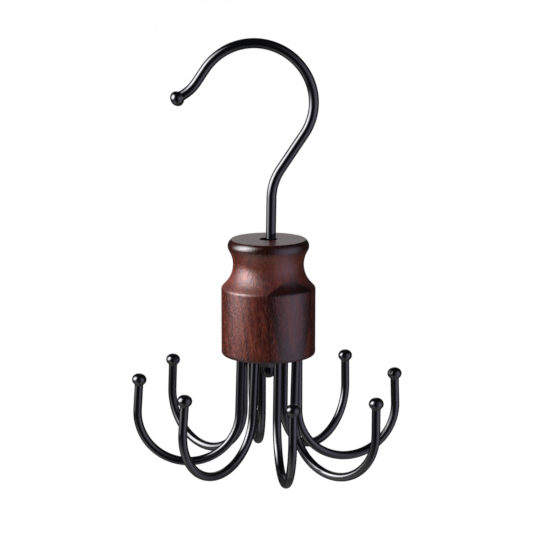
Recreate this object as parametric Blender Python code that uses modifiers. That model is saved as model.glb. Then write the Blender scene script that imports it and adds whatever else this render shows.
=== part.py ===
"""Accessory hanger: a bent wire hook that carries a turned wooden body with a ring of J shaped arms.

The origin is where a rod rests inside the crown of the hook, on the axis that the body turns about.
+Z is up, and the hook lies in the XZ plane with its open side towards -X.
"""

import math

import bmesh
import bpy
from mathutils import Matrix

# Clearances shared by every seat, the length by which a cut passes its face, and how near points are one
SEAT_GAP = 0.0003
SOCKET_CLEARANCE = 0.0003
THREAD_CLEARANCE = 0.0003
CUT_OVERRUN = 0.0010
MERGE_DISTANCE = 0.00001

# Hook wire: a straight stem, a bend, a straight reach, three arcs over the crown, then a back bend and the tip
HOOK_WIRE = 0.0044
HOOK_LEAN_DEG = 1.0
STEM_LENGTH = 0.0769
STEM_BEND_RADIUS = 0.0233
STEM_BEND_DEG = 32.6
REACH_LENGTH = 0.0184
RISE_RADIUS = 0.0246
RISE_DEG = 56.1
CROWN_RADIUS = 0.0261
CROWN_DEG = 51.6
NOSE_RADIUS = 0.0252
NOSE_DEG = 72.1
NOSE_LENGTH = 0.0067
BACK_BEND_RADIUS = 0.0177
BACK_BEND_DEG = 24.0
TIP_LENGTH = 0.0036
HOOK_HEAD_WIDTH = 0.0067
HOOK_HEAD_LENGTH = 0.0058

# Cap nut on the threaded foot of the stem, and the washer between it and the body
NUT_FLATS = 0.0080
NUT_HEX_HEIGHT = 0.0040
NUT_DOME_WIDTH = 0.0078
NUT_DOME_SIDE = 0.0013
NUT_GRIP = 0.0060
NUT_BORE_END = 0.0006
WASHER_WIDTH = 0.0120
WASHER_HOLE = 0.0054
WASHER_THICKNESS = 0.0010

# Turned body: top face, bead, cove, shoulder and cylinder
BODY_HEIGHT = 0.0512
BODY_WIDTH = 0.0412
BODY_BORE = 0.0074
BORE_CHAMFER = 0.0003
BEAD_WIDTH = 0.0356
BEAD_RADIUS = 0.0035
BEAD_DROP = 0.0029
BEAD_UNDERCUT_DEG = 28.5
NECK_LENGTH = 0.0009
COVE_RADIUS = 0.0120
FLARE_DEG = 43.9
SHOULDER_ROUND = 0.0012
FOOT_ROUND = 0.0014

# Arms: a shank glued in the underside, a half turn and a short limb with a headed end
ARM_COUNT = 8
ARM_WIRE = 0.0038
ARM_RING_RADIUS = 0.0131
ARM_RING_OFFSET = 0.0006
FIRST_ARM_DEG = -74.3
SOCKET_DEPTH = 0.0140
SHANK_LENGTH = 0.0262
ARM_BEND_RADIUS = 0.0224
ARM_BEND_DEG = 182.0
LIMB_LENGTH = 0.0134
ARM_HEAD_WIDTH = 0.0064
ARM_HEAD_LENGTH = 0.0055

# How each arm sits in its hole, in order round the ring: its turn from radial, its lean to the side,
# its splay outwards, and how much lower it hangs as a share of its wire
ARM_TURNS_DEG = (-7.7, -10.4, -3.0, -11.0, -9.9, -13.1, -14.4, -11.3)
ARM_LEANS_DEG = (1.0, 1.0, 0.0, -1.0, 0.0, -0.1, -0.4, 1.2)
ARM_SPLAYS_DEG = (1.5, -1.3, 0.0, 0.4, 0.6, 0.6, 1.7, 2.3)
ARM_DROP_SHARES = (-0.05, 0.17, 0.06, -0.01, -0.04, -0.02, -0.03, -0.15)

# Finishes: colour, roughness and metallic value
BLACK_PAINT = ((0.010, 0.011, 0.014, 1.0), 0.22, 0.0)
BLACK_NUT = ((0.012, 0.013, 0.016, 1.0), 0.30, 0.4)
ZINC = ((0.55, 0.56, 0.58, 1.0), 0.38, 1.0)
STAINED_WOOD = ((0.115, 0.032, 0.020, 1.0), 0.34, 0.0)

# Facets: sides of a wire, degrees turned at each point of an arc, rings of a head, sides of a turned piece
WIRE_BEVEL = 4
HOOK_STEP_DEG = 7.0
ARM_STEP_DEG = 9.0
HEAD_RINGS = 7
HEX_SIDES = 6
BODY_SIDES = 48
SMALL_SIDES = 32
PROFILE_STEP_DEG = 11.0
SMOOTH_BELOW_DEG = 35.0


def clear_scene():
    """Removes whatever the scene holds."""
    for thing in list(bpy.data.objects):
        bpy.data.objects.remove(thing, do_unlink=True)


def new_collection(name):
    """Makes a collection under the scene's own."""
    collection = bpy.data.collections.new(name)
    bpy.context.scene.collection.children.link(collection)
    return collection


def finish_material(name, finish):
    """Makes a plain Principled material from a finish."""
    colour, roughness, metallic = finish
    material = bpy.data.materials.new(name)
    material.use_nodes = True
    shader = material.node_tree.nodes["Principled BSDF"]
    shader.inputs["Base Color"].default_value = colour
    shader.inputs["Roughness"].default_value = roughness
    shader.inputs["Metallic"].default_value = metallic
    material.diffuse_color = colour
    return material


def add_object(name, data, collection, finish=None):
    """Links a new object for the data, with a material of its own."""
    thing = bpy.data.objects.new(name, data)
    collection.objects.link(thing)
    if finish:
        data.materials.clear()
        data.materials.append(finish_material(name + "_finish", finish))
    return thing


def arc_points(centre, radius, start_deg, end_deg, step_deg):
    """Gives points along an arc, both ends included."""
    steps = max(1, round(abs(end_deg - start_deg) / step_deg))
    points = []
    for index in range(steps + 1):
        angle = math.radians(start_deg + (end_deg - start_deg) * index / steps)
        points.append((centre[0] + radius * math.cos(angle), centre[1] + radius * math.sin(angle)))
    return points


class WirePath:
    """Walks a wire's centreline in its own plane, as a bending jig would."""

    def __init__(self, start, heading_deg, step_deg):
        self.points = [start]
        self.heading_deg = heading_deg
        self.step_deg = step_deg
        self.centre = None

    def run(self, length):
        """Goes straight on."""
        x, z = self.points[-1]
        angle = math.radians(self.heading_deg)
        self.points.append((x + length * math.cos(angle), z + length * math.sin(angle)))

    def bend(self, radius, turn_deg):
        """Turns left by a positive angle and right by a negative one."""
        x, z = self.points[-1]
        side_deg = math.copysign(90.0, turn_deg)
        normal = math.radians(self.heading_deg + side_deg)
        self.centre = (x + radius * math.cos(normal), z + radius * math.sin(normal))
        start_deg = self.heading_deg - side_deg
        self.points += arc_points(self.centre, radius, start_deg, start_deg + turn_deg, self.step_deg)[1:]
        self.heading_deg += turn_deg


def headed_wire(name, path, wire, head_width, head_length):
    """Makes a round wire curve along the path, whose last point is the middle of its upset head."""
    heading = math.radians(path.heading_deg)
    middle = path.points[-1]
    centres = [(point, wire / 2) for point in path.points[:-1]]
    neck_deg = math.degrees(math.asin(wire / head_width))
    for angle_deg in [neck_deg + (180.0 - neck_deg) * ring / HEAD_RINGS for ring in range(HEAD_RINGS)]:
        angle = math.radians(angle_deg)
        along = -head_length / 2 * math.cos(angle)
        place = (middle[0] + along * math.cos(heading), middle[1] + along * math.sin(heading))
        centres.append((place, head_width / 2 * math.sin(angle)))
    curve = bpy.data.curves.new(name, "CURVE")
    curve.dimensions = "3D"
    curve.bevel_depth = wire / 2
    curve.bevel_resolution = WIRE_BEVEL
    curve.use_fill_caps = True
    spline = curve.splines.new("POLY")
    spline.points.add(len(centres) - 1)
    for point, ((x, z), radius) in zip(spline.points, centres):
        point.co = (x, 0.0, z, 1.0)
        point.radius = radius / (wire / 2)
    spline.use_smooth = True
    return curve


def turned_mesh(name, profile, closed):
    """Makes the profile's edges, which run down the outer side at +X."""
    mesh = bpy.data.meshes.new(name)
    loop = bmesh.new()
    corners = [loop.verts.new((x, 0.0, z)) for x, z in profile]
    for upper, lower in zip(corners, corners[1:]):
        loop.edges.new((upper, lower))
    if closed:
        loop.edges.new((corners[-1], corners[0]))
    loop.to_mesh(mesh)
    loop.free()
    return mesh


def turn(thing, sides):
    """Turns an object's profile about its Z axis."""
    screw = thing.modifiers.new("turning", "SCREW")
    screw.axis = "Z"
    screw.steps = sides
    screw.render_steps = sides
    screw.use_merge_vertices = True
    screw.merge_threshold = MERGE_DISTANCE
    screw.use_smooth_shade = True


def cylinder_mesh(name, radius, low, high, sides):
    """Makes a closed cylinder about Z between two heights."""
    mesh = bpy.data.meshes.new(name)
    solid = bmesh.new()
    bmesh.ops.create_cone(
        solid,
        cap_ends=True,
        segments=sides,
        radius1=radius,
        radius2=radius,
        depth=high - low,
        matrix=Matrix.Translation((0.0, 0.0, (low + high) / 2)),
    )
    solid.to_mesh(mesh)
    solid.free()
    return mesh


def as_tool(thing):
    """Marks an object that only shapes another one."""
    thing.hide_render = True
    thing.display_type = "WIRE"
    return thing


def combine(thing, other, operation):
    """Joins another object to this one, or cuts it out."""
    boolean = thing.modifiers.new(operation.lower() + "_" + other.name, "BOOLEAN")
    boolean.operation = operation
    boolean.solver = "EXACT"
    boolean.object = other


def smooth_rounds(thing):
    """Shades round faces smooth and keeps the real edges sharp."""
    thing.data.shade_smooth()
    thing.data.set_sharp_from_angle(angle=math.radians(SMOOTH_BELOW_DEG))


def hook_path():
    """Walks the hook's wire from its foot on the swivel axis to the middle of its head."""
    path = WirePath((0.0, 0.0), 90.0 - HOOK_LEAN_DEG, HOOK_STEP_DEG)
    path.run(STEM_LENGTH)
    path.bend(STEM_BEND_RADIUS, -STEM_BEND_DEG)
    path.run(REACH_LENGTH)
    path.bend(RISE_RADIUS, RISE_DEG)
    path.bend(CROWN_RADIUS, CROWN_DEG)
    crown_centre = path.centre
    path.bend(NOSE_RADIUS, NOSE_DEG)
    path.run(NOSE_LENGTH)
    path.bend(BACK_BEND_RADIUS, -BACK_BEND_DEG)
    path.run(TIP_LENGTH)
    return path, crown_centre


def rod_rest_height(crown_centre):
    """Gives the height above the foot of the inside of the crown, on the swivel axis."""
    inner_radius = CROWN_RADIUS - HOOK_WIRE / 2
    return crown_centre[1] + math.sqrt(inner_radius**2 - crown_centre[0] ** 2)


def build_hook(parts, foot_z, path):
    """Makes the hook, with its origin at the foot of the stem."""
    curve = headed_wire("hanging_hook", path, HOOK_WIRE, HOOK_HEAD_WIDTH, HOOK_HEAD_LENGTH)
    hook = add_object("hanging_hook", curve, parts, BLACK_PAINT)
    hook.location = (0.0, 0.0, foot_z)
    return hook


def build_cap_nut(parts, tools, foot_z):
    """Makes the domed nut, leaning with the stem whose foot is its origin."""
    hex_bottom = NUT_GRIP - NUT_HEX_HEIGHT
    dome_radius = NUT_DOME_WIDTH / 2
    dome_centre = (0.0, hex_bottom - NUT_DOME_SIDE)
    corner_radius = NUT_FLATS / 2 / math.cos(math.pi / HEX_SIDES)
    mesh = cylinder_mesh("cap_nut", corner_radius, hex_bottom, NUT_GRIP, HEX_SIDES)
    nut = add_object("cap_nut", mesh, parts, BLACK_NUT)
    inside = NUT_HEX_HEIGHT / 2
    profile = [(0.0, hex_bottom + inside), (dome_radius, hex_bottom + inside)]
    profile += arc_points(dome_centre, dome_radius, 0.0, -90.0, PROFILE_STEP_DEG)[:-1]
    profile.append((0.0, dome_centre[1] - dome_radius))
    dome = as_tool(add_object("nut_dome", turned_mesh("nut_dome", profile, False), tools))
    turn(dome, SMALL_SIDES)
    bore_radius = HOOK_WIRE / 2 + THREAD_CLEARANCE
    bore_mesh = cylinder_mesh("nut_bore", bore_radius, -NUT_BORE_END, NUT_GRIP + CUT_OVERRUN, SMALL_SIDES)
    bore = as_tool(add_object("nut_bore", bore_mesh, tools))
    for piece in (nut, dome, bore):
        piece.location = (0.0, 0.0, foot_z)
        piece.rotation_euler = (0.0, math.radians(HOOK_LEAN_DEG), 0.0)
    combine(nut, dome, "UNION")
    combine(nut, bore, "DIFFERENCE")
    smooth_rounds(nut)
    return nut


def build_washer(parts, washer_z):
    """Makes the flat washer that the body turns on, with its origin in its lower face."""
    outer = WASHER_WIDTH / 2
    inner = WASHER_HOLE / 2
    profile = [(outer, WASHER_THICKNESS), (outer, 0.0), (inner, 0.0), (inner, WASHER_THICKNESS)]
    washer = add_object("thrust_washer", turned_mesh("thrust_washer", profile, True), parts, ZINC)
    washer.location = (0.0, 0.0, washer_z)
    turn(washer, SMALL_SIDES)
    return washer


def body_profile():
    """Gives the body's outline from the bore's upper edge round the outside and back up the bore."""
    bore = BODY_BORE / 2
    bead_centre = (BEAD_WIDTH / 2 - BEAD_RADIUS, BODY_HEIGHT - BEAD_DROP)
    rim_deg = math.degrees(math.asin(BEAD_DROP / BEAD_RADIUS))
    profile = [(bore + BORE_CHAMFER, BODY_HEIGHT)]
    profile += arc_points(bead_centre, BEAD_RADIUS, rim_deg, -BEAD_UNDERCUT_DEG, PROFILE_STEP_DEG)
    undercut = math.radians(BEAD_UNDERCUT_DEG)
    neck_x = profile[-1][0] - NECK_LENGTH * math.sin(undercut)
    neck_z = profile[-1][1] - NECK_LENGTH * math.cos(undercut)
    cove_centre = (neck_x + COVE_RADIUS * math.cos(undercut), neck_z - COVE_RADIUS * math.sin(undercut))
    profile += arc_points(cove_centre, COVE_RADIUS, 180.0 - BEAD_UNDERCUT_DEG, 180.0 + FLARE_DEG, PROFILE_STEP_DEG)
    flare = math.radians(FLARE_DEG)
    shoulder_x = BODY_WIDTH / 2 - SHOULDER_ROUND
    flare_length = (shoulder_x + SHOULDER_ROUND * math.cos(flare) - profile[-1][0]) / math.sin(flare)
    flare_end_z = profile[-1][1] - flare_length * math.cos(flare)
    shoulder_centre = (shoulder_x, flare_end_z - SHOULDER_ROUND * math.sin(flare))
    profile += arc_points(shoulder_centre, SHOULDER_ROUND, FLARE_DEG, 0.0, PROFILE_STEP_DEG)
    foot_centre = (BODY_WIDTH / 2 - FOOT_ROUND, FOOT_ROUND)
    profile += arc_points(foot_centre, FOOT_ROUND, 0.0, -90.0, 2 * PROFILE_STEP_DEG)
    profile += [(bore + BORE_CHAMFER, 0.0), (bore, BORE_CHAMFER), (bore, BODY_HEIGHT - BORE_CHAMFER)]
    return profile


def arm_seats():
    """Gives each arm's place on the underside and its rotation."""
    seats = []
    table = zip(ARM_TURNS_DEG, ARM_LEANS_DEG, ARM_SPLAYS_DEG, ARM_DROP_SHARES)
    for index, (turn_deg, lean_deg, splay_deg, drop_share) in enumerate(table):
        ring_deg = FIRST_ARM_DEG + index * 360.0 / ARM_COUNT
        ring = math.radians(ring_deg)
        x = ARM_RING_OFFSET + ARM_RING_RADIUS * math.cos(ring)
        y = ARM_RING_RADIUS * math.sin(ring)
        rotation = [math.radians(angle) for angle in (-lean_deg, -splay_deg, ring_deg + turn_deg)]
        seats.append(((x, y), drop_share * ARM_WIRE, rotation))
    return seats


def build_body(parts, tools, body_z):
    """Makes the turned body with its through bore and a blind hole for each arm."""
    mesh = turned_mesh("turned_body", body_profile(), True)
    body = add_object("turned_body", mesh, parts, STAINED_WOOD)
    body.location = (0.0, 0.0, body_z)
    turn(body, BODY_SIDES)
    socket_radius = ARM_WIRE / 2 + SOCKET_CLEARANCE
    for index, ((x, y), _, rotation) in enumerate(arm_seats()):
        name = f"arm_socket_{index + 1}"
        mesh = cylinder_mesh(name, socket_radius, -CUT_OVERRUN, SOCKET_DEPTH, SMALL_SIDES // 2)
        socket = as_tool(add_object(name, mesh, tools))
        socket.location = (x, y, body_z)
        socket.rotation_euler = rotation
        combine(body, socket, "DIFFERENCE")
    return body


def arm_path(drop):
    """Walks an arm's wire from its end in the socket to the middle of its head."""
    shank_top = SOCKET_DEPTH - SEAT_GAP
    path = WirePath((0.0, shank_top), -90.0, ARM_STEP_DEG)
    path.run(shank_top + SHANK_LENGTH + drop)
    path.bend(ARM_BEND_RADIUS, ARM_BEND_DEG)
    path.run(LIMB_LENGTH)
    return path


def build_arms(parts, body_z):
    """Makes the arms, each with its origin where it enters the body."""
    arms = []
    for index, ((x, y), drop, rotation) in enumerate(arm_seats()):
        name = f"arm_hook_{index + 1}"
        curve = headed_wire(name, arm_path(drop), ARM_WIRE, ARM_HEAD_WIDTH, ARM_HEAD_LENGTH)
        arm = add_object(name, curve, parts, BLACK_PAINT)
        arm.location = (x, y, body_z)
        arm.rotation_euler = rotation
        arms.append(arm)
    return arms


def build_hanger():
    """Stacks the pieces on the hook's stem, from the nut up."""
    clear_scene()
    parts = new_collection("accessory_hanger")
    tools = new_collection("cutters")
    path, crown_centre = hook_path()
    foot_z = -rod_rest_height(crown_centre)
    washer_z = foot_z + NUT_GRIP + SEAT_GAP
    body_z = washer_z + WASHER_THICKNESS + SEAT_GAP
    build_hook(parts, foot_z, path)
    build_cap_nut(parts, tools, foot_z)
    build_washer(parts, washer_z)
    build_body(parts, tools, body_z)
    build_arms(parts, body_z)


build_hanger()
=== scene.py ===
import math

import bmesh
import bpy
from mathutils import Euler, Matrix, Vector


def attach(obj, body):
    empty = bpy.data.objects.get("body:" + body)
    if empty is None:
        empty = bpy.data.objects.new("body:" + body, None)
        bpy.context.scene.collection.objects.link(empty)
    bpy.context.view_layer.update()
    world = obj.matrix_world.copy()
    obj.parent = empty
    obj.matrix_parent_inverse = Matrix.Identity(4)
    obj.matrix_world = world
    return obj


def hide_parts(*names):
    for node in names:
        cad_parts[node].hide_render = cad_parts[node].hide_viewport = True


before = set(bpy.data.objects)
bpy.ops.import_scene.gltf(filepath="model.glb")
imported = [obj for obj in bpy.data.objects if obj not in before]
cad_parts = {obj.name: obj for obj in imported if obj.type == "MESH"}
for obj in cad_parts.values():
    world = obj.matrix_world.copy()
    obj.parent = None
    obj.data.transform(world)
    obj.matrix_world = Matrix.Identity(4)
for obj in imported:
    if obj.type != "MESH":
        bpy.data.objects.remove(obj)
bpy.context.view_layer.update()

# The hanging hook is one round steel wire, bent on a jig, with its free end upset into a small ball.
# It goes over a closet rod, and its straight stem runs down through the wooden body.
# It is dipped in black paint and baked, which gives a deep gloss with a faint skin like orange peel.
HOOK_WIRE = 0.0044
HOOK_LEAN_DEG = 1.0
STEM_LENGTH = 0.0769
STEM_BEND = (0.0233, -32.6)
REACH_LENGTH = 0.0184
RISE_BEND = (0.0246, 56.1)
CROWN_BEND = (0.0261, 51.6)
NOSE_BEND = (0.0252, 72.1)
NOSE_LENGTH = 0.0067
BACK_BEND = (0.0177, -24.0)
TIP_LENGTH = 0.0036
HOOK_HEAD_WIDTH = 0.0067
HOOK_HEAD_LENGTH = 0.0058
END_CHAMFER = 0.0004
HEAD_FILLET = 0.0004
BEND_STEP_DEG = 2.0
WIRE_SIDES = 72
HEAD_RINGS = 26
SHARP_DEG = 35.0
PAINT_BLACK = (0.0030, 0.0034, 0.0050, 1.0)
PAINT_DUST = (0.060, 0.062, 0.070, 1.0)
PAINT_ROUGHNESS = 0.05
PAINT_ROUGHNESS_SPREAD = 0.04
PAINT_REFRACTION = 1.5
PEEL_SCALE = 900.0
PEEL_DEPTH = 0.000001
HAZE_SCALE_SHARE = 0.2
GRIT_SCALE_SHARE = 2.6
GRIT_RANGE = (0.66, 0.78)
DUST_SHARE = 0.12


def further(stop, length):
    """Gives the place further along a stop's heading. A stop is x, z and the heading in radians."""
    x, z, heading = stop
    return x + length * math.cos(heading), z + length * math.sin(heading), heading


def run(path, length):
    """Takes the wire straight on from the last stop of its path."""
    path.append(further(path[-1], length))


def bend(path, radius, turn_deg):
    """Bends the wire to the left by a positive angle and to the right by a negative one."""
    x, z, heading = path[-1]
    side = math.copysign(math.pi / 2, turn_deg)
    centre_x = x + radius * math.cos(heading + side)
    centre_z = z + radius * math.sin(heading + side)
    steps = math.ceil(abs(turn_deg) / BEND_STEP_DEG)
    for step in range(1, steps + 1):
        turned = heading + math.radians(turn_deg) * step / steps
        stop_x = centre_x - radius * math.cos(turned + side)
        stop_z = centre_z - radius * math.sin(turned + side)
        path.append((stop_x, stop_z, turned))
    return centre_x, centre_z


def soft_larger(first, second, blend):
    """Gives the larger of two sizes, with a fillet where they are nearly the same."""
    overlap = max(blend - abs(first - second), 0.0) / blend
    return max(first, second) + overlap * overlap * blend / 4


def painted_wire(name, path, wire, head_width, head_length):
    """Sweeps the wire along its path, from a chamfered end to the upset head round the path's last stop."""
    rings = [(*path[0], wire / 2 - END_CHAMFER), (*further(path[0], END_CHAMFER), wire / 2)]
    rings += [(*stop, wire / 2) for stop in path[1:-1]]
    head_start = -head_length / 2 - HEAD_FILLET
    head_reach = head_length / 2 - head_start
    for ring in range(HEAD_RINGS):
        along = head_start + head_reach * math.sin(math.pi / 2 * ring / HEAD_RINGS)
        ball = head_width / 2 * math.sqrt(max(1 - (2 * along / head_length) ** 2, 0.0))
        radius = soft_larger(wire / 2, ball, HEAD_FILLET) if along < 0 else ball
        rings.append((*further(path[-1], along), radius))
    solid = bmesh.new()
    loops = []
    for x, z, heading, radius in rings:
        across = Vector((-math.sin(heading), 0.0, math.cos(heading)))
        loop = []
        for side in range(WIRE_SIDES):
            angle = 2 * math.pi * side / WIRE_SIDES
            offset = across * math.cos(angle) + Vector((0.0, 1.0, 0.0)) * math.sin(angle)
            loop.append(solid.verts.new(Vector((x, 0.0, z)) + offset * radius))
        loops.append(loop)
    for lower, upper in zip(loops, loops[1:]):
        for side in range(WIRE_SIDES):
            following = (side + 1) % WIRE_SIDES
            solid.faces.new((lower[side], lower[following], upper[following], upper[side]))
    solid.faces.new(loops[0])
    pole_x, pole_z, _ = further(path[-1], head_length / 2)
    pole = solid.verts.new((pole_x, 0.0, pole_z))
    for side in range(WIRE_SIDES):
        solid.faces.new((loops[-1][side], loops[-1][(side + 1) % WIRE_SIDES], pole))
    bmesh.ops.recalc_face_normals(solid, faces=solid.faces)
    return finished_mesh(name, solid)


def keep_edges(mesh, sharp_deg):
    """Shades the mesh smooth, and leaves the edges sharp that turn by more than an angle."""
    mesh.shade_smooth()
    mesh.set_sharp_from_angle(angle=math.radians(sharp_deg))


def finished_mesh(name, solid):
    """Turns the bmesh into an object whose real edges stay sharp."""
    mesh = bpy.data.meshes.new(name)
    solid.to_mesh(mesh)
    solid.free()
    keep_edges(mesh, SHARP_DEG)
    piece = bpy.data.objects.new(name, mesh)
    bpy.context.scene.collection.objects.link(piece)
    return piece


def put(tree, kind, inputs=None, settings=None):
    """Places a node with its settings, and with the values or links of its inputs."""
    node = tree.nodes.new(kind)
    for name, value in (settings or {}).items():
        setattr(node, name, value)
    for name, value in (inputs or {}).items():
        if isinstance(value, bpy.types.NodeSocket):
            tree.links.new(value, node.inputs[name])
        else:
            node.inputs[name].default_value = value
    return node


def calc(tree, operation, first, second=0.0):
    """Places a math node and gives its result."""
    return put(tree, "ShaderNodeMath", {0: first, 1: second}, {"operation": operation}).outputs[0]


def times(tree, first, second):
    """Gives the product of two values."""
    return calc(tree, "MULTIPLY", first, second)


def total(tree, start, *terms):
    """Adds terms to a start. A term is a value and its share."""
    for value, share in terms:
        inputs = {0: value, 1: share, 2: start}
        start = put(tree, "ShaderNodeMath", inputs, {"operation": "MULTIPLY_ADD"}).outputs[0]
    return start


def blend_colours(tree, share, first, second):
    """Goes from the first colour to the second by a share."""
    inputs = {0: share, 6: first, 7: second}
    return put(tree, "ShaderNodeMix", inputs, {"data_type": "RGBA"}).outputs[2]


def spread(tree, value, low, high, to_low=0.0, to_high=1.0):
    """Stretches a value from one range to another, smoothly and without passing its ends."""
    inputs = {"Value": value, "From Min": low, "From Max": high, "To Min": to_low, "To Max": to_high}
    return put(tree, "ShaderNodeMapRange", inputs, {"interpolation_type": "SMOOTHSTEP"}).outputs[0]


def noise(tree, place, scale, detail=2.0, roughness=0.5):
    """Places a noise and gives its value."""
    inputs = {"Vector": place, "Scale": scale, "Detail": detail, "Roughness": roughness}
    return put(tree, "ShaderNodeTexNoise", inputs).outputs["Fac"]


def bumped(tree, relief, depth):
    """Gives the normal of a surface with a relief of a depth in metres."""
    inputs = {"Strength": 1.0, "Distance": depth, "Height": relief}
    return put(tree, "ShaderNodeBump", inputs).outputs[0]


def new_group(name, inputs, outputs):
    """Starts a node group with named inputs and outputs, and gives it with its inputs' sockets."""
    group = bpy.data.node_groups.new(name, "ShaderNodeTree")
    for socket in inputs:
        group.interface.new_socket(socket, in_out="INPUT", socket_type="NodeSocketFloat")
    for socket, kind in outputs.items():
        group.interface.new_socket(socket, in_out="OUTPUT", socket_type=kind)
    return group, group.nodes.new("NodeGroupInput").outputs


def new_material(name):
    """Starts a material and gives it with its node tree and its Principled shader."""
    material = bpy.data.materials.new(name)
    material.use_nodes = True
    return material, material.node_tree, material.node_tree.nodes["Principled BSDF"]


paint_skin, skin_in = new_group(
    "paint_skin",
    ("Peel Scale", "Peel Depth", "Gloss Roughness", "Roughness Spread"),
    {"Roughness": "NodeSocketFloat", "Dust": "NodeSocketFloat", "Normal": "NodeSocketVector"},
)
skin_place = put(paint_skin, "ShaderNodeTexCoord").outputs["Object"]
haze_scale = times(paint_skin, skin_in["Peel Scale"], HAZE_SCALE_SHARE)
grit_scale = times(paint_skin, skin_in["Peel Scale"], GRIT_SCALE_SHARE)
peel = noise(paint_skin, skin_place, skin_in["Peel Scale"], detail=1.0)
haze = noise(paint_skin, skin_place, haze_scale, detail=3.0)
grit = noise(paint_skin, skin_place, grit_scale)
wander = (calc(paint_skin, "SUBTRACT", haze, 0.5), skin_in["Roughness Spread"])
skin_out = {
    "Roughness": total(paint_skin, skin_in["Gloss Roughness"], wander),
    "Dust": spread(paint_skin, grit, *GRIT_RANGE),
    "Normal": bumped(paint_skin, peel, skin_in["Peel Depth"]),
}
put(paint_skin, "NodeGroupOutput", skin_out)


def paint_material(name, colour, peel_depth, roughness, refraction):
    """Makes a baked gloss paint with the skin's own unevenness and a trace of dust."""
    material, tree, shader = new_material(name)
    values = {
        "Peel Scale": PEEL_SCALE,
        "Peel Depth": peel_depth,
        "Gloss Roughness": roughness,
        "Roughness Spread": PAINT_ROUGHNESS_SPREAD,
    }
    skin = put(tree, "ShaderNodeGroup", values, {"node_tree": paint_skin}).outputs
    dusty = times(tree, skin["Dust"], DUST_SHARE)
    tree.links.new(blend_colours(tree, dusty, colour, PAINT_DUST), shader.inputs["Base Color"])
    tree.links.new(skin["Roughness"], shader.inputs["Roughness"])
    tree.links.new(skin["Normal"], shader.inputs["Normal"])
    shader.inputs["IOR"].default_value = refraction
    return material


black_paint = paint_material(
    "baked_black_paint", PAINT_BLACK, PEEL_DEPTH, PAINT_ROUGHNESS, PAINT_REFRACTION
)

hook_path = [(0.0, 0.0, math.radians(90.0 - HOOK_LEAN_DEG))]
run(hook_path, STEM_LENGTH)
bend(hook_path, *STEM_BEND)
run(hook_path, REACH_LENGTH)
bend(hook_path, *RISE_BEND)
crown_x, crown_z = bend(hook_path, *CROWN_BEND)
bend(hook_path, *NOSE_BEND)
run(hook_path, NOSE_LENGTH)
bend(hook_path, *BACK_BEND)
run(hook_path, TIP_LENGTH)
stem_foot_z = -(crown_z + math.sqrt((CROWN_BEND[0] - HOOK_WIRE / 2) ** 2 - crown_x**2))
hook = painted_wire("hook_wire", hook_path, HOOK_WIRE, HOOK_HEAD_WIDTH, HOOK_HEAD_LENGTH)
hook.data.transform(Matrix.Translation((0.0, 0.0, stem_foot_z)))
hook.data.materials.append(black_paint)
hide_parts("hanging_hook")
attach(hook, "hook")

# The cap nut screws on the stem's threaded foot and carries the body. It is a small steel hexagon with
# chamfered corners and a round closed dome, blackened and painted like the wires.
NUT_FLATS = 0.0080
NUT_HEX_HEIGHT = 0.0040
NUT_DOME_WIDTH = 0.0078
NUT_DOME_SIDE = 0.0013
NUT_GRIP = 0.0060
NUT_CHAMFER_DEG = 30.0
NUT_CHAMFER_START = 0.0002
NUT_SHARP_DEG = 25.0
CUTTER_MARGIN = 1.01
THREAD_CLEARANCE = 0.0003
NUT_BLACK = (0.0040, 0.0044, 0.0060, 1.0)
NUT_PEEL_DEPTH = 0.000002
NUT_ROUGHNESS = 0.10
NUT_REFRACTION = 1.36
TURNING_SIDES = 96
ARC_STEP_DEG = 4.0


def arc(centre, radius, start_deg, end_deg, step_deg=ARC_STEP_DEG):
    """Gives points along an arc of a profile, both ends included."""
    steps = max(1, math.ceil(abs(end_deg - start_deg) / step_deg))
    angles = [math.radians(start_deg + (end_deg - start_deg) * step / steps) for step in range(steps + 1)]
    return [(centre[0] + radius * math.cos(angle), centre[1] + radius * math.sin(angle)) for angle in angles]


def turned_solid(profile, sides):
    """Turns a closed profile of radius and height points about Z. Points on the axis become poles."""
    solid = bmesh.new()
    loops = []
    for radius, height in profile:
        if radius == 0.0:
            loops.append([solid.verts.new((0.0, 0.0, height))] * sides)
            continue
        angles = [2 * math.pi * side / sides for side in range(sides)]
        loops.append([solid.verts.new((radius * math.cos(a), radius * math.sin(a), height)) for a in angles])
    for upper, lower in zip(loops, loops[1:] + loops[:1]):
        for side in range(sides):
            following = (side + 1) % sides
            corners = []
            for vertex in (upper[side], lower[side], lower[following], upper[following]):
                if vertex not in corners:
                    corners.append(vertex)
            if len(corners) > 2:
                solid.faces.new(corners)
    bmesh.ops.recalc_face_normals(solid, faces=solid.faces)
    return solid


def turned_rod(radius, top, bottom):
    """Gives the profile of a plain rod."""
    return [(0.0, top), (radius, top), (radius, bottom), (0.0, bottom)]


def cut(piece, cutter, operation):
    """Applies an exact boolean with the cutter, which is then removed."""
    step = piece.modifiers.new("cut", "BOOLEAN")
    step.operation = operation
    step.solver = "EXACT"
    step.object = cutter
    bpy.context.view_layer.update()
    shaped = bpy.data.meshes.new_from_object(piece.evaluated_get(bpy.context.evaluated_depsgraph_get()))
    piece.modifiers.remove(step)
    piece.data = shaped
    bpy.data.objects.remove(cutter, do_unlink=True)


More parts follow.
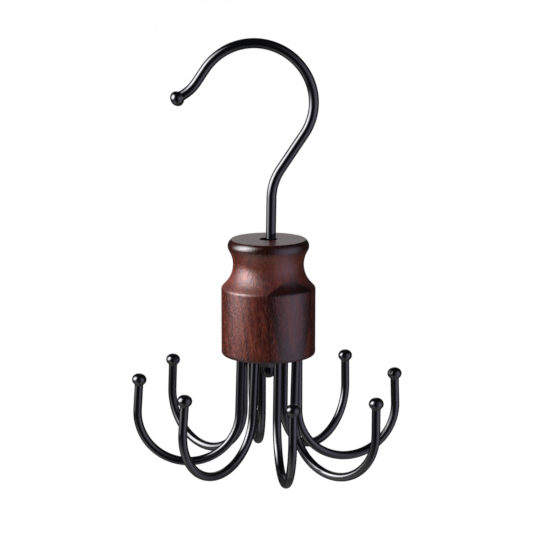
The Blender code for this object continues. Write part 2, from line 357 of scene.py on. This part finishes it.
hex_bottom = NUT_GRIP - NUT_HEX_HEIGHT
hex_middle = hex_bottom + NUT_HEX_HEIGHT / 2
corner_radius = NUT_FLATS / 2 / math.cos(math.pi / 6)
blank = bmesh.new()
bmesh.ops.create_cone(
    blank,
    cap_ends=True,
    segments=6,
    radius1=corner_radius,
    radius2=corner_radius,
    depth=NUT_HEX_HEIGHT,
    matrix=Matrix.Translation((0.0, 0.0, hex_middle)),
)
nut = finished_mesh("hex_cap_nut", blank)
chamfer_radius = NUT_FLATS / 2 - NUT_CHAMFER_START
chamfer_rise = (corner_radius - chamfer_radius) * math.tan(math.radians(NUT_CHAMFER_DEG))
limit_radius = corner_radius * CUTTER_MARGIN
limit_profile = [
    (0.0, NUT_GRIP),
    (chamfer_radius, NUT_GRIP),
    (limit_radius, NUT_GRIP - chamfer_rise),
    (limit_radius, hex_bottom + chamfer_rise),
    (chamfer_radius, hex_bottom),
    (0.0, hex_bottom),
]
cut(nut, finished_mesh("nut_limit", turned_solid(limit_profile, TURNING_SIDES)), "INTERSECT")
dome_radius = NUT_DOME_WIDTH / 2
dome_centre = (0.0, hex_bottom - NUT_DOME_SIDE)
dome_profile = [(0.0, hex_middle), (dome_radius, hex_middle)]
dome_profile += arc(dome_centre, dome_radius, 0.0, -90.0)[:-1]
dome_profile.append((0.0, dome_centre[1] - dome_radius))
cut(nut, finished_mesh("nut_dome", turned_solid(dome_profile, TURNING_SIDES)), "UNION")
nut_bore = turned_rod(HOOK_WIRE / 2 + THREAD_CLEARANCE, NUT_GRIP * 2, -THREAD_CLEARANCE)
cut(nut, finished_mesh("nut_bore", turned_solid(nut_bore, TURNING_SIDES)), "DIFFERENCE")
keep_edges(nut.data, NUT_SHARP_DEG)
nut_lean = Matrix.Rotation(math.radians(HOOK_LEAN_DEG), 4, "Y")
nut.data.transform(Matrix.Translation((0.0, 0.0, stem_foot_z)) @ nut_lean)
nut_paint = paint_material("blackened_nut", NUT_BLACK, NUT_PEEL_DEPTH, NUT_ROUGHNESS, NUT_REFRACTION)
nut.data.materials.append(nut_paint)
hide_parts("cap_nut")
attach(nut, "hook")

# The thrust washer lies on the nut, and the body turns on it. It is stamped from zinc plated sheet, so its
# edges are rolled over a little and its faces are lightly scratched from tumbling.
SEAT_GAP = 0.0003
WASHER_WIDTH = 0.0120
WASHER_HOLE = 0.0054
WASHER_THICKNESS = 0.0010
WASHER_EDGE = 0.0002
WASHER_EDGE_STEP_DEG = 30.0
ZINC_LIGHT = (0.62, 0.63, 0.64, 1.0)
ZINC_DULL = (0.40, 0.41, 0.43, 1.0)
ZINC_ROUGHNESS = (0.28, 0.46)
SPANGLE_SCALE = 900.0
SCRATCH_SCALE = 5200.0
SCRATCH_TURN = (0.0, 0.0, 0.6)
SCRATCH_STRETCH = (1.0, 0.04, 1.0)
SCRATCH_RANGE = (0.3, 0.7)
SCRATCH_DEPTH = 0.000006

washer_z = stem_foot_z + NUT_GRIP + SEAT_GAP
rim = WASHER_WIDTH / 2 - WASHER_EDGE
lip = WASHER_HOLE / 2 + WASHER_EDGE
edge_high = WASHER_THICKNESS - WASHER_EDGE
edge_low = WASHER_EDGE
washer_profile = []
for edge, start_deg in (
    ((rim, edge_high), 90.0),
    ((rim, edge_low), 0.0),
    ((lip, edge_low), -90.0),
    ((lip, edge_high), 180.0),
):
    washer_profile += arc(edge, WASHER_EDGE, start_deg, start_deg - 90.0, WASHER_EDGE_STEP_DEG)
washer = finished_mesh("zinc_washer", turned_solid(washer_profile, TURNING_SIDES))
washer.data.transform(Matrix.Translation((0.0, 0.0, washer_z)))
zinc, tree, shader = new_material("tumbled_zinc")
place = put(tree, "ShaderNodeTexCoord").outputs["Object"]
scratch_inputs = {"Vector": place, "Rotation": SCRATCH_TURN, "Scale": SCRATCH_STRETCH}
scratch_place = put(tree, "ShaderNodeMapping", scratch_inputs).outputs[0]
scratches = noise(tree, scratch_place, SCRATCH_SCALE, detail=3.0)
spangle = noise(tree, place, SPANGLE_SCALE)
shader.inputs["Metallic"].default_value = 1.0
tree.links.new(blend_colours(tree, spangle, ZINC_DULL, ZINC_LIGHT), shader.inputs["Base Color"])
tree.links.new(spread(tree, scratches, *SCRATCH_RANGE, *ZINC_ROUGHNESS), shader.inputs["Roughness"])
tree.links.new(bumped(tree, scratches, SCRATCH_DEPTH), shader.inputs["Normal"])
washer.data.materials.append(zinc)
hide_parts("thrust_washer")
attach(washer, "washer")

# The body is turned from one piece of close-grained hardwood, with the grain along its axis: a flat top,
# a bead, a cove, a shoulder and a cylinder. It has a wide bore for the stem and eight blind holes for the
# arms. It is stained dark red-brown and sprayed with satin lacquer, which leaves the pores a little open.
BODY_HEIGHT = 0.0512
BODY_WIDTH = 0.0412
BODY_BORE = 0.0074
BORE_CHAMFER = 0.0003
BEAD_WIDTH = 0.0356
BEAD_RADIUS = 0.0035
BEAD_DROP = 0.0029
BEAD_UNDERCUT_DEG = 28.5
NECK_LENGTH = 0.0009
COVE_RADIUS = 0.0120
FLARE_DEG = 43.9
SHOULDER_ROUND = 0.0020
FOOT_ROUND = 0.0014
FOOT_STEP_DEG = 7.5
BODY_SIDES = 160
BODY_SHARP_DEG = 30.0
ARM_WIRE = 0.0038
ARM_COUNT = 8
ARM_RING_RADIUS = 0.0131
ARM_RING_OFFSET = 0.0006
FIRST_ARM_DEG = -74.3
SOCKET_DEPTH = 0.0140
SOCKET_CLEARANCE = 0.0003
SOCKET_SIDES = 48
ARM_TURNS_DEG = (-7.7, -10.4, -3.0, -11.0, -9.9, -13.1, -14.4, -11.3)
ARM_LEANS_DEG = (1.0, 1.0, 0.0, -1.0, 0.0, -0.1, -0.4, 1.2)
ARM_SPLAYS_DEG = (1.5, -1.3, 0.0, 0.4, 0.6, 0.6, 1.7, 2.3)
ARM_DROP_SHARES = (-0.05, 0.17, 0.06, -0.01, -0.04, -0.02, -0.03, -0.15)

body_z = washer_z + WASHER_THICKNESS + SEAT_GAP
bore = BODY_BORE / 2
bead_centre = (BEAD_WIDTH / 2 - BEAD_RADIUS, BODY_HEIGHT - BEAD_DROP)
rim_deg = math.degrees(math.asin(BEAD_DROP / BEAD_RADIUS))
undercut = math.radians(BEAD_UNDERCUT_DEG)
flare = math.radians(FLARE_DEG)
body_profile = [(bore + BORE_CHAMFER, BODY_HEIGHT)]
body_profile += arc(bead_centre, BEAD_RADIUS, rim_deg, -BEAD_UNDERCUT_DEG)
neck_x = body_profile[-1][0] - NECK_LENGTH * math.sin(undercut)
neck_z = body_profile[-1][1] - NECK_LENGTH * math.cos(undercut)
cove_centre = (neck_x + COVE_RADIUS * math.cos(undercut), neck_z - COVE_RADIUS * math.sin(undercut))
body_profile += arc(cove_centre, COVE_RADIUS, 180.0 - BEAD_UNDERCUT_DEG, 180.0 + FLARE_DEG)
shoulder_x = BODY_WIDTH / 2 - SHOULDER_ROUND
flare_length = (shoulder_x + SHOULDER_ROUND * math.cos(flare) - body_profile[-1][0]) / math.sin(flare)
shoulder_z = body_profile[-1][1] - flare_length * math.cos(flare) - SHOULDER_ROUND * math.sin(flare)
body_profile += arc((shoulder_x, shoulder_z), SHOULDER_ROUND, FLARE_DEG, 0.0)
body_profile += arc((BODY_WIDTH / 2 - FOOT_ROUND, FOOT_ROUND), FOOT_ROUND, 0.0, -90.0, FOOT_STEP_DEG)
body_profile += [(bore + BORE_CHAMFER, 0.0), (bore, BORE_CHAMFER), (bore, BODY_HEIGHT - BORE_CHAMFER)]
body = finished_mesh("lacquered_body", turned_solid(body_profile, BODY_SIDES))

socket = turned_rod(ARM_WIRE / 2 + SOCKET_CLEARANCE, SOCKET_DEPTH, -SOCKET_DEPTH)
arm_seats = []
for number in range(ARM_COUNT):
    ring_deg = FIRST_ARM_DEG + number * 360.0 / ARM_COUNT
    ring = math.radians(ring_deg)
    seat = (ARM_RING_OFFSET + ARM_RING_RADIUS * math.cos(ring), ARM_RING_RADIUS * math.sin(ring), 0.0)
    turns = (-ARM_LEANS_DEG[number], -ARM_SPLAYS_DEG[number], ring_deg + ARM_TURNS_DEG[number])
    turned = Euler([math.radians(angle) for angle in turns]).to_matrix().to_4x4()
    arm_seats.append(Matrix.Translation(seat) @ turned)
    drill = finished_mesh("drill", turned_solid(socket, SOCKET_SIDES))
    drill.data.transform(arm_seats[-1])
    cut(body, drill, "DIFFERENCE")
keep_edges(body.data, BODY_SHARP_DEG)
body.data.transform(Matrix.Translation((0.0, 0.0, body_z)))

# The wood's grain runs round a pith outside the body, drifts a little and carries long marks. A set of
# marks says how far it is squeezed along the trunk, how fine it is, and its noise's detail and roughness.
FROM_PITH = (-0.052, 0.027, 0.358)
GRAIN_TILT = (0.035, 0.09, 0.0)
DRIFT_SCALE = 26.0
DRIFT_DETAIL = 2.0
DRIFT_REACH = (0.010, 0.010, 0.0)
RING_STRETCH = 0.3
RING_WAVE = {"Scale": 95.0, "Distortion": 2.2, "Detail": 3.0, "Detail Scale": 1.6}
ZONES = (0.10, 110.0, 3.0, 0.55)
STREAKS = (0.11, 900.0, 5.0, 0.65)
FLECKS = (0.60, 1450.0, 2.0, 0.60)
LIGHT_GRAINS = (0.30, 1300.0, 1.0, 0.50)
PORES = (0.28, 1700.0, 1.0, 0.50)
PORE_FADE = (0.56, 0.68)
LIGHT_GRAIN_FADE = (0.50, 0.64, 0.0, 0.42)
ZONE_TONE = 0.60
STREAK_TONE = 0.45
RING_TONE = 0.08
WOOD_DARK = (0.022, 0.0022, 0.0010, 1.0)
WOOD_BROWN = (0.050, 0.0060, 0.0032, 1.0)
WOOD_RED = (0.125, 0.0180, 0.0090, 1.0)
WOOD_LIGHT = (0.24, 0.052, 0.027, 1.0)
WOOD_TONES = ((0.42, WOOD_DARK), (0.53, WOOD_BROWN), (0.66, WOOD_RED), (0.80, WOOD_LIGHT))

wood, tree, shader = new_material("stained_lacquered_wood")
place = put(tree, "ShaderNodeTexCoord").outputs["Object"]


def vector_calc(tree, operation, first, second=(0.0, 0.0, 0.0)):
    """Places a vector math node and gives its outputs."""
    return put(tree, "ShaderNodeVectorMath", {0: first, 1: second}, {"operation": operation}).outputs


grain_inputs = {"Vector": place, "Location": FROM_PITH, "Rotation": GRAIN_TILT}
grain = put(tree, "ShaderNodeMapping", grain_inputs).outputs[0]
drift_inputs = {"Vector": grain, "Scale": DRIFT_SCALE, "Detail": DRIFT_DETAIL}
drift = put(tree, "ShaderNodeTexNoise", drift_inputs).outputs["Color"]
drift = vector_calc(tree, "SUBTRACT", drift, (0.5, 0.5, 0.5))["Vector"]
drift = vector_calc(tree, "MULTIPLY", drift, DRIFT_REACH)["Vector"]
wavy = vector_calc(tree, "ADD", grain, drift)["Vector"]


def along_grain(stretch):
    """Gives the wavy grain's coordinates, squeezed along the trunk so that marks come out long."""
    return put(tree, "ShaderNodeMapping", {"Vector": wavy, "Scale": (1.0, 1.0, stretch)}).outputs[0]


def grain_marks(stretch, scale, detail, roughness):
    """Gives a set of marks along the grain."""
    return noise(tree, along_grain(stretch), scale, detail, roughness)


def fade(value, start, limits):
    """Goes from one strength to another between two limits, which are counted from a start."""
    return spread(tree, value, start + limits[0], start + limits[1], *limits[2:])


ring_inputs = {"Vector": along_grain(RING_STRETCH), **RING_WAVE}
ring_settings = {"wave_type": "RINGS", "rings_direction": "Z"}
rings = put(tree, "ShaderNodeTexWave", ring_inputs, ring_settings).outputs["Fac"]
zones = grain_marks(*ZONES)
streaks = grain_marks(*STREAKS)
flecks = grain_marks(*FLECKS)
light_grains = fade(grain_marks(*LIGHT_GRAINS), 0.0, LIGHT_GRAIN_FADE)
pores = fade(grain_marks(*PORES), 0.0, PORE_FADE)
tone = total(tree, 0.0, (zones, ZONE_TONE), (streaks, STREAK_TONE), (rings, RING_TONE))
wood_ramp = put(tree, "ShaderNodeValToRGB", {"Fac": tone})
tones = wood_ramp.color_ramp.elements
tones.remove(tones[1])
tones[0].position, tones[0].color = WOOD_TONES[0]
for position, shade in WOOD_TONES[1:]:
    tones.new(position).color = shade

# The turner's stain took unevenly: it is dark at a growth layer that crosses the flare, and the flare is
# darker just above the shoulder, most past that layer. The bead is darker from deeper stain and from painted
# shade, the foot's lower rim has painted shade, the bore is painted near black as shade, and the cove's
# upper front is lighter with a painted pool of light. A fade is two distances from its own start and, where
# they aren't 0 and 1, the strengths there.
PORE_DARK = (0.014, 0.0025, 0.0016, 1.0)
END_GRAIN = (0.070, 0.010, 0.014, 1.0)
# Deeper stain and painted shade on the bead, painted shade on the foot's lower rim, and a darker flare.
DARK_STAIN_AND_SHADE = (0.016, 0.0040, 0.0032, 1.0)
# Painted shade: the bore's walls are coloured near black, as the narrow gap round the stem is in shade.
BORE_PAINTED_SHADE = (0.0040, 0.0018, 0.0015, 1.0)
PORE_STAIN = 0.25
LAYER_STAIN = 0.85
END_STAIN = 0.80
TOP_SKIN = (-0.0002, -0.0001)
FOOT_SKIN = (0.0001, 0.0002, 1.0, 0.0)
BEAD_FADE = (-0.0056, -0.0026, 0.0, 0.85)
# Painted shade on the foot's lower rim, which faces down.
FOOT_SHADE_FADE = (0.0008, 0.0030, 0.65, 0.0)
# A painted pool of light: the cove's upper front is lightened, most towards +X.
COVE_LIGHT_RISE = (-0.0100, -0.0060)
COVE_LIGHT_FALL = (-0.0010, 0.0020, 0.42, 0.0)
COVE_LIGHT_SIDE = (-0.0095, -0.0045, 0.35, 1.0)
COVE_RISE = (0.0, 0.0015)
COVE_FALL = (-0.0120, -0.0040, 1.0, 0.0)
FLARE_RISE = (0.0, 0.0008)
FLARE_FALL = (0.0020, 0.0050, 0.5, 0.0)
FLARE_SHARE = 0.55
FLARE_PAST_LAYER = 1.1
LAYER_WAY = (0.536, -0.844, 0.102)
LAYER_START = 0.0068
LAYER_RAGGED = 0.0010
LAYER_EDGE = (0.0, 0.0004)
LAYER_TAIL = (0.0006, 0.0022, 1.0, 0.25)
LAYER_TOP = (0.0045, 0.0075, 1.0, 0.0)

top_z = body_z + BODY_HEIGHT
neck_height = body_z + neck_z
shoulder_height = body_z + shoulder_z
spot = put(tree, "ShaderNodeSeparateXYZ", {"Vector": place}).outputs
height = spot["Z"]
end_mask = calc(tree, "MAXIMUM", fade(height, top_z, TOP_SKIN), fade(height, body_z, FOOT_SKIN))
bead_mask = fade(height, top_z, BEAD_FADE)
foot_shade_mask = fade(height, body_z, FOOT_SHADE_FADE)
# The cove's painted pool of light, by height and towards +X.
cove_painted_light = times(tree, fade(height, neck_height, COVE_LIGHT_RISE), fade(height, neck_height, COVE_LIGHT_FALL))
cove_painted_light = times(tree, cove_painted_light, fade(spot["X"], 0.0, COVE_LIGHT_SIDE))
across_layers = vector_calc(tree, "DOT_PRODUCT", place, LAYER_WAY)["Value"]
layer = total(tree, across_layers, (streaks, LAYER_RAGGED))
past_layer = fade(layer, LAYER_START, LAYER_EDGE)
low_layer = times(tree, fade(height, shoulder_height, LAYER_TOP), past_layer)
layer_mask = times(tree, low_layer, fade(layer, LAYER_START, LAYER_TAIL))
cove_mask = times(tree, fade(height, shoulder_height, COVE_RISE), fade(height, neck_height, COVE_FALL))
smooth_mask = times(tree, low_layer, cove_mask)
flare_rise = fade(height, shoulder_height, FLARE_RISE)
flare_mask = times(tree, flare_rise, fade(height, shoulder_height, FLARE_FALL))
flare_mask = times(tree, flare_mask, total(tree, FLARE_SHARE, (past_layer, FLARE_PAST_LAYER)))
# Painted shade on the bead and the foot's rim, deeper stain on the bead, and a darker flare above the
# shoulder.
stain_and_shade_mask = calc(tree, "MAXIMUM", bead_mask, calc(tree, "MAXIMUM", flare_mask, foot_shade_mask))
from_axis = vector_calc(tree, "MULTIPLY", place, (1.0, 1.0, 0.0))["Vector"]
from_axis = vector_calc(tree, "LENGTH", from_axis)["Value"]
# The bore's mask carries its painted shade, and also makes it rougher.
bore_mask = spread(tree, from_axis, bore, bore + BORE_CHAMFER / 2, 1.0, 0.0)
stained = wood_ramp.outputs[0]
for share, shade in (
    (light_grains, WOOD_LIGHT),
    (cove_painted_light, WOOD_LIGHT),
    (times(tree, pores, PORE_STAIN), PORE_DARK),
    (times(tree, layer_mask, LAYER_STAIN), WOOD_DARK),
    (stain_and_shade_mask, DARK_STAIN_AND_SHADE),
    (times(tree, end_mask, END_STAIN), END_GRAIN),
    (bore_mask, BORE_PAINTED_SHADE),
):
    stained = blend_colours(tree, share, stained, shade)
tree.links.new(stained, shader.inputs["Base Color"])

# The satin lacquer follows the grain's relief. It is rougher on the torn grain of the cove, on the ends and
# in the bore, and smoother where it pooled on the bead and on the hard growth layer.
LACQUER_REFRACTION = 1.42
STREAK_ROUGHNESS = (0.3, 0.7, 0.20, 0.27)
PORE_ROUGHNESS = 0.10
END_ROUGHNESS = 0.18
COVE_ROUGHNESS = 0.20
BORE_ROUGHNESS = 0.30
SMOOTH_ROUGHNESS = -0.20
BEAD_ROUGHNESS = -0.07
GRAIN_DEPTH = 0.00010
STREAK_RELIEF = 0.2
PORE_RELIEF = -0.2
COVE_RELIEF = -0.10
BEAD_RELIEF = -0.75
SMOOTH_RELIEF = -0.60

roughness = total(
    tree,
    spread(tree, streaks, *STREAK_ROUGHNESS),
    (pores, PORE_ROUGHNESS),
    (end_mask, END_ROUGHNESS),
    (cove_mask, COVE_ROUGHNESS),
    (bore_mask, BORE_ROUGHNESS),
    (smooth_mask, SMOOTH_ROUGHNESS),
    (bead_mask, BEAD_ROUGHNESS),
)
tree.links.new(roughness, shader.inputs["Roughness"])
relief = total(tree, flecks, (streaks, STREAK_RELIEF), (pores, PORE_RELIEF))
openness = total(tree, 1.0, (cove_mask, COVE_RELIEF), (bead_mask, BEAD_RELIEF), (smooth_mask, SMOOTH_RELIEF))
tree.links.new(bumped(tree, times(tree, relief, openness), GRAIN_DEPTH), shader.inputs["Normal"])
shader.inputs["IOR"].default_value = LACQUER_REFRACTION
body.data.materials.append(wood)
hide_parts("turned_body")
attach(body, "carousel")

# The eight arms are thinner wires, each glued in its own blind hole, bent up in a half turn and upset to a
# ball. They are painted like the hook. They were set by hand, so no two turn, lean and hang quite alike.
SHANK_LENGTH = 0.0262
ARM_BEND = (0.0224, 182.0)
LIMB_LENGTH = 0.0134
ARM_HEAD_WIDTH = 0.0064
ARM_HEAD_LENGTH = 0.0055

shank_top = SOCKET_DEPTH - SEAT_GAP
for number, seat in enumerate(arm_seats):
    arm_path = [(0.0, shank_top, -math.pi / 2)]
    run(arm_path, shank_top + SHANK_LENGTH + ARM_DROP_SHARES[number] * ARM_WIRE)
    bend(arm_path, *ARM_BEND)
    run(arm_path, LIMB_LENGTH)
    arm = painted_wire(f"arm_wire_{number + 1}", arm_path, ARM_WIRE, ARM_HEAD_WIDTH, ARM_HEAD_LENGTH)
    arm.data.transform(Matrix.Translation((0.0, 0.0, body_z)) @ seat)
    arm.data.materials.append(black_paint)
    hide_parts(f"arm_hook_{number + 1}")
    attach(arm, "carousel")

# The studio is a plain white floor, a closet rod's height below the hook, which goes on to the horizon and
# so is the background too. It shows plain white, throws a little light back up and takes a soft shadow.
FLOOR_DROP = 1.50
FLOOR_SIZE = 80.0
FLOOR_GLOW = 0.955
FLOOR_BOUNCE = 0.15
FLOOR_ROUGHNESS = 0.9
FLOOR_WHITE = (0.80, 0.80, 0.79, 1.0)
STUDIO_WHITE = (1.0, 1.0, 1.0, 1.0)
STUDIO_GLOW = 1.0
STUDIO_AMBIENT = 0.05


def seen_rays(tree):
    """Gives 1 where the camera, a reflection or a clear material sees the surface, and 0 elsewhere."""
    rays = put(tree, "ShaderNodeLightPath").outputs
    seen = calc(tree, "MAXIMUM", rays["Is Camera Ray"], rays["Is Glossy Ray"])
    return calc(tree, "MAXIMUM", seen, rays["Is Transmission Ray"])


sheet = bmesh.new()
bmesh.ops.create_grid(sheet, x_segments=1, y_segments=1, size=FLOOR_SIZE)
floor = finished_mesh("studio_floor", sheet)
floor.location = (0.0, 0.0, -FLOOR_DROP)
floor_paint, tree, shader = new_material("white_floor")
shader.inputs["Base Color"].default_value = FLOOR_WHITE
shader.inputs["Roughness"].default_value = FLOOR_ROUGHNESS
shader.inputs["Specular IOR Level"].default_value = 0.0
shader.inputs["Emission Color"].default_value = STUDIO_WHITE
floor_strength = spread(tree, seen_rays(tree), 0.0, 1.0, FLOOR_BOUNCE, FLOOR_GLOW)
tree.links.new(floor_strength, shader.inputs["Emission Strength"])
floor.data.materials.append(floor_paint)

world = bpy.data.worlds.new("studio")
bpy.context.scene.world = world
world.use_nodes = True
tree = world.node_tree
background = tree.nodes["Background"]
background.inputs["Color"].default_value = STUDIO_WHITE
world_strength = spread(tree, seen_rays(tree), 0.0, 1.0, STUDIO_AMBIENT, STUDIO_GLOW)
tree.links.new(world_strength, background.inputs["Strength"])

# The lamps are a soft key from the left, a broad fill near the camera and a tall, dim panel on the right.
# The gloss doesn't see them. It sees a dark tent round the object, with soft bright patches for the key,
# the panel, the pool of light under the key, the floor and the white gap behind the object.
AIM = Vector((0.0, 0.0, -0.090))
LAMP_DISTANCE = 1.1
KEY_AIM = (-84.0, 27.0)
KEY_SIZE = (0.70, 0.60)
KEY_POWER = 13.5
PANEL_AIM = (88.0, -18.0)
PANEL_SIZE = (1.10, 1.00)
PANEL_POWER = 1.9
FILL_AIM = (-20.0, 0.0)
FILL_SIZE = (1.20, 1.00)
FILL_POWER = 3.0


def round_the_set(azimuth_deg, elevation_deg, distance):
    """Gives a place round the object. Azimuth 0 is the camera's side, and 90 degrees is towards +X."""
    azimuth, elevation = math.radians(azimuth_deg), math.radians(elevation_deg)
    flat = distance * math.cos(elevation)
    rise = distance * math.sin(elevation)
    return AIM + Vector((flat * math.sin(azimuth), -flat * math.cos(azimuth), rise))


def soft_lamp(name, aim, size, power):
    """Makes a soft lamp that lights the object without showing in its gloss."""
    lamp = bpy.data.lights.new(name, "AREA")
    lamp.shape = "RECTANGLE"
    lamp.size, lamp.size_y = size
    lamp.energy = power
    light = bpy.data.objects.new(name, lamp)
    light.location = round_the_set(*aim, LAMP_DISTANCE)
    light.rotation_euler = (AIM - light.location).to_track_quat("-Z", "Y").to_euler()
    light.visible_glossy = False
    bpy.context.scene.collection.objects.link(light)


soft_lamp("key_lamp", KEY_AIM, KEY_SIZE, KEY_POWER)
soft_lamp("panel_lamp", PANEL_AIM, PANEL_SIZE, PANEL_POWER)
soft_lamp("fill_lamp", FILL_AIM, FILL_SIZE, FILL_POWER)

# The tent is a dome of cloth that only reflections see. Each patch has its sides in azimuth and its ends in
# elevation, in degrees, and each of these is where the light rises and where it falls. The key stands askew,
# so its sides shift with the elevation.
TENT_RADIUS = 1.25
TENT_SIDES = 48
TENT_RINGS = 24
TENT_GLOW = 0.04
TENT_BLACK = (0.0, 0.0, 0.0, 1.0)
WHITE_TINT = (1.0, 1.0, 1.0)
KEY_TINT = (1.0, 1.0, 1.05)
KEY_SIDES = ((-124.0, -74.0), (-82.0, -36.0))
KEY_SLANT = 0.15
KEY_ENDS = ((-20.0, 16.0), (32.0, 60.0))
KEY_GLEAM = 25.5
PANEL_TINT = (1.0, 0.95, 1.28)
PANEL_SIDES = ((2.0, 52.0), (66.0, 114.0))
PANEL_ENDS = ((-86.0, -2.0), (2.0, 64.0))
PANEL_GLEAM = 1.72
POOL_SIDES = ((-118.0, -92.0), (-60.0, -10.0))
POOL_ENDS = ((-74.0, -54.0), (-34.0, -12.0))
POOL_GLEAM = 0.8
FLOOR_FADE = (-68.0, -24.0)
FLOOR_SIDES = (80.0, 130.0)
FLOOR_GLEAM = (0.50, 0.20)
GAP_SIDES = (164.0, 176.0)
GAP_ENDS = ((-14.0, -2.0), (30.0, 42.0))
GAP_GLEAM = 0.82

tent_shell = bmesh.new()
bmesh.ops.create_uvsphere(tent_shell, u_segments=TENT_SIDES, v_segments=TENT_RINGS, radius=TENT_RADIUS)
dome = finished_mesh("lamp_tent", tent_shell)
dome.location = AIM
tent_cloth, tree, shader = new_material("tent_cloth")
place = put(tree, "ShaderNodeTexCoord").outputs["Object"]
direction = vector_calc(tree, "NORMALIZE", place)["Vector"]
way = put(tree, "ShaderNodeSeparateXYZ", {"Vector": direction}).outputs
azimuth = calc(tree, "ARCTAN2", way["X"], times(tree, way["Y"], -1.0))
azimuth = calc(tree, "DEGREES", azimuth)
elevation = calc(tree, "DEGREES", calc(tree, "ARCSINE", way["Z"]))


def band(value, rise, fall):
    """Gives 1 inside a band of angles and 0 outside it, with a soft edge at its rise and at its fall."""
    return times(tree, spread(tree, value, *rise), spread(tree, value, *fall, 1.0, 0.0))


def soft_patch(sides, ends, gleam, slant=0.0):
    """Gives the strength of a soft bright patch of the tent."""
    askew = total(tree, azimuth, (elevation, -slant))
    return times(tree, times(tree, band(askew, *sides), band(elevation, *ends)), gleam)


def tinted(strength, tint):
    """Gives light of a strength and a tint."""
    inputs = {0: tint, "Scale": strength}
    return put(tree, "ShaderNodeVectorMath", inputs, {"operation": "SCALE"}).outputs[0]


key_light = tinted(soft_patch(KEY_SIDES, KEY_ENDS, KEY_GLEAM, KEY_SLANT), KEY_TINT)
panel_light = tinted(soft_patch(PANEL_SIDES, PANEL_ENDS, PANEL_GLEAM), PANEL_TINT)
pool_light = soft_patch(POOL_SIDES, POOL_ENDS, POOL_GLEAM)
off_camera = calc(tree, "ABSOLUTE", azimuth)
gap_light = spread(tree, off_camera, *GAP_SIDES, 0.0, GAP_GLEAM)
gap_share = band(elevation, *GAP_ENDS)
floor_light = spread(tree, off_camera, *FLOOR_SIDES, *FLOOR_GLEAM)
floor_share = spread(tree, elevation, *FLOOR_FADE, 1.0, 0.0)
white = total(tree, TENT_GLOW, (pool_light, 1.0), (gap_light, gap_share), (floor_light, floor_share))
tent_light = vector_calc(tree, "ADD", key_light, panel_light)["Vector"]
tent_light = vector_calc(tree, "ADD", tent_light, tinted(white, WHITE_TINT))["Vector"]
shader.inputs["Base Color"].default_value = TENT_BLACK
shader.inputs["Specular IOR Level"].default_value = 0.0
shader.inputs["Emission Strength"].default_value = 1.0
tree.links.new(tent_light, shader.inputs["Emission Color"])
dome.data.materials.append(tent_cloth)
dome.visible_camera = False
dome.visible_diffuse = False
dome.visible_shadow = False
dome.visible_transmission = False

# The camera stands a little above the object and looks down at it, as in the photograph. Its lens and
# place were fitted to the outlines of the wires, the balls and the wood.
CAMERA_PLACE = (-0.00083, -0.870, 0.0756)
CAMERA_PITCH_DEG = 11.04
CAMERA_LENS = 137.25
SENSOR_WIDTH = 36.0
NEAREST_SEEN = 0.01

lens = bpy.data.cameras.new("camera")
lens.lens = CAMERA_LENS
lens.sensor_width = SENSOR_WIDTH
lens.clip_start = NEAREST_SEEN
camera = bpy.data.objects.new("camera", lens)
camera.location = CAMERA_PLACE
camera.rotation_euler = (math.radians(90.0 - CAMERA_PITCH_DEG), 0.0, 0.0)
bpy.context.scene.collection.objects.link(camera)
bpy.context.scene.camera = camera
bpy.context.scene.view_settings.view_transform = "Standard"
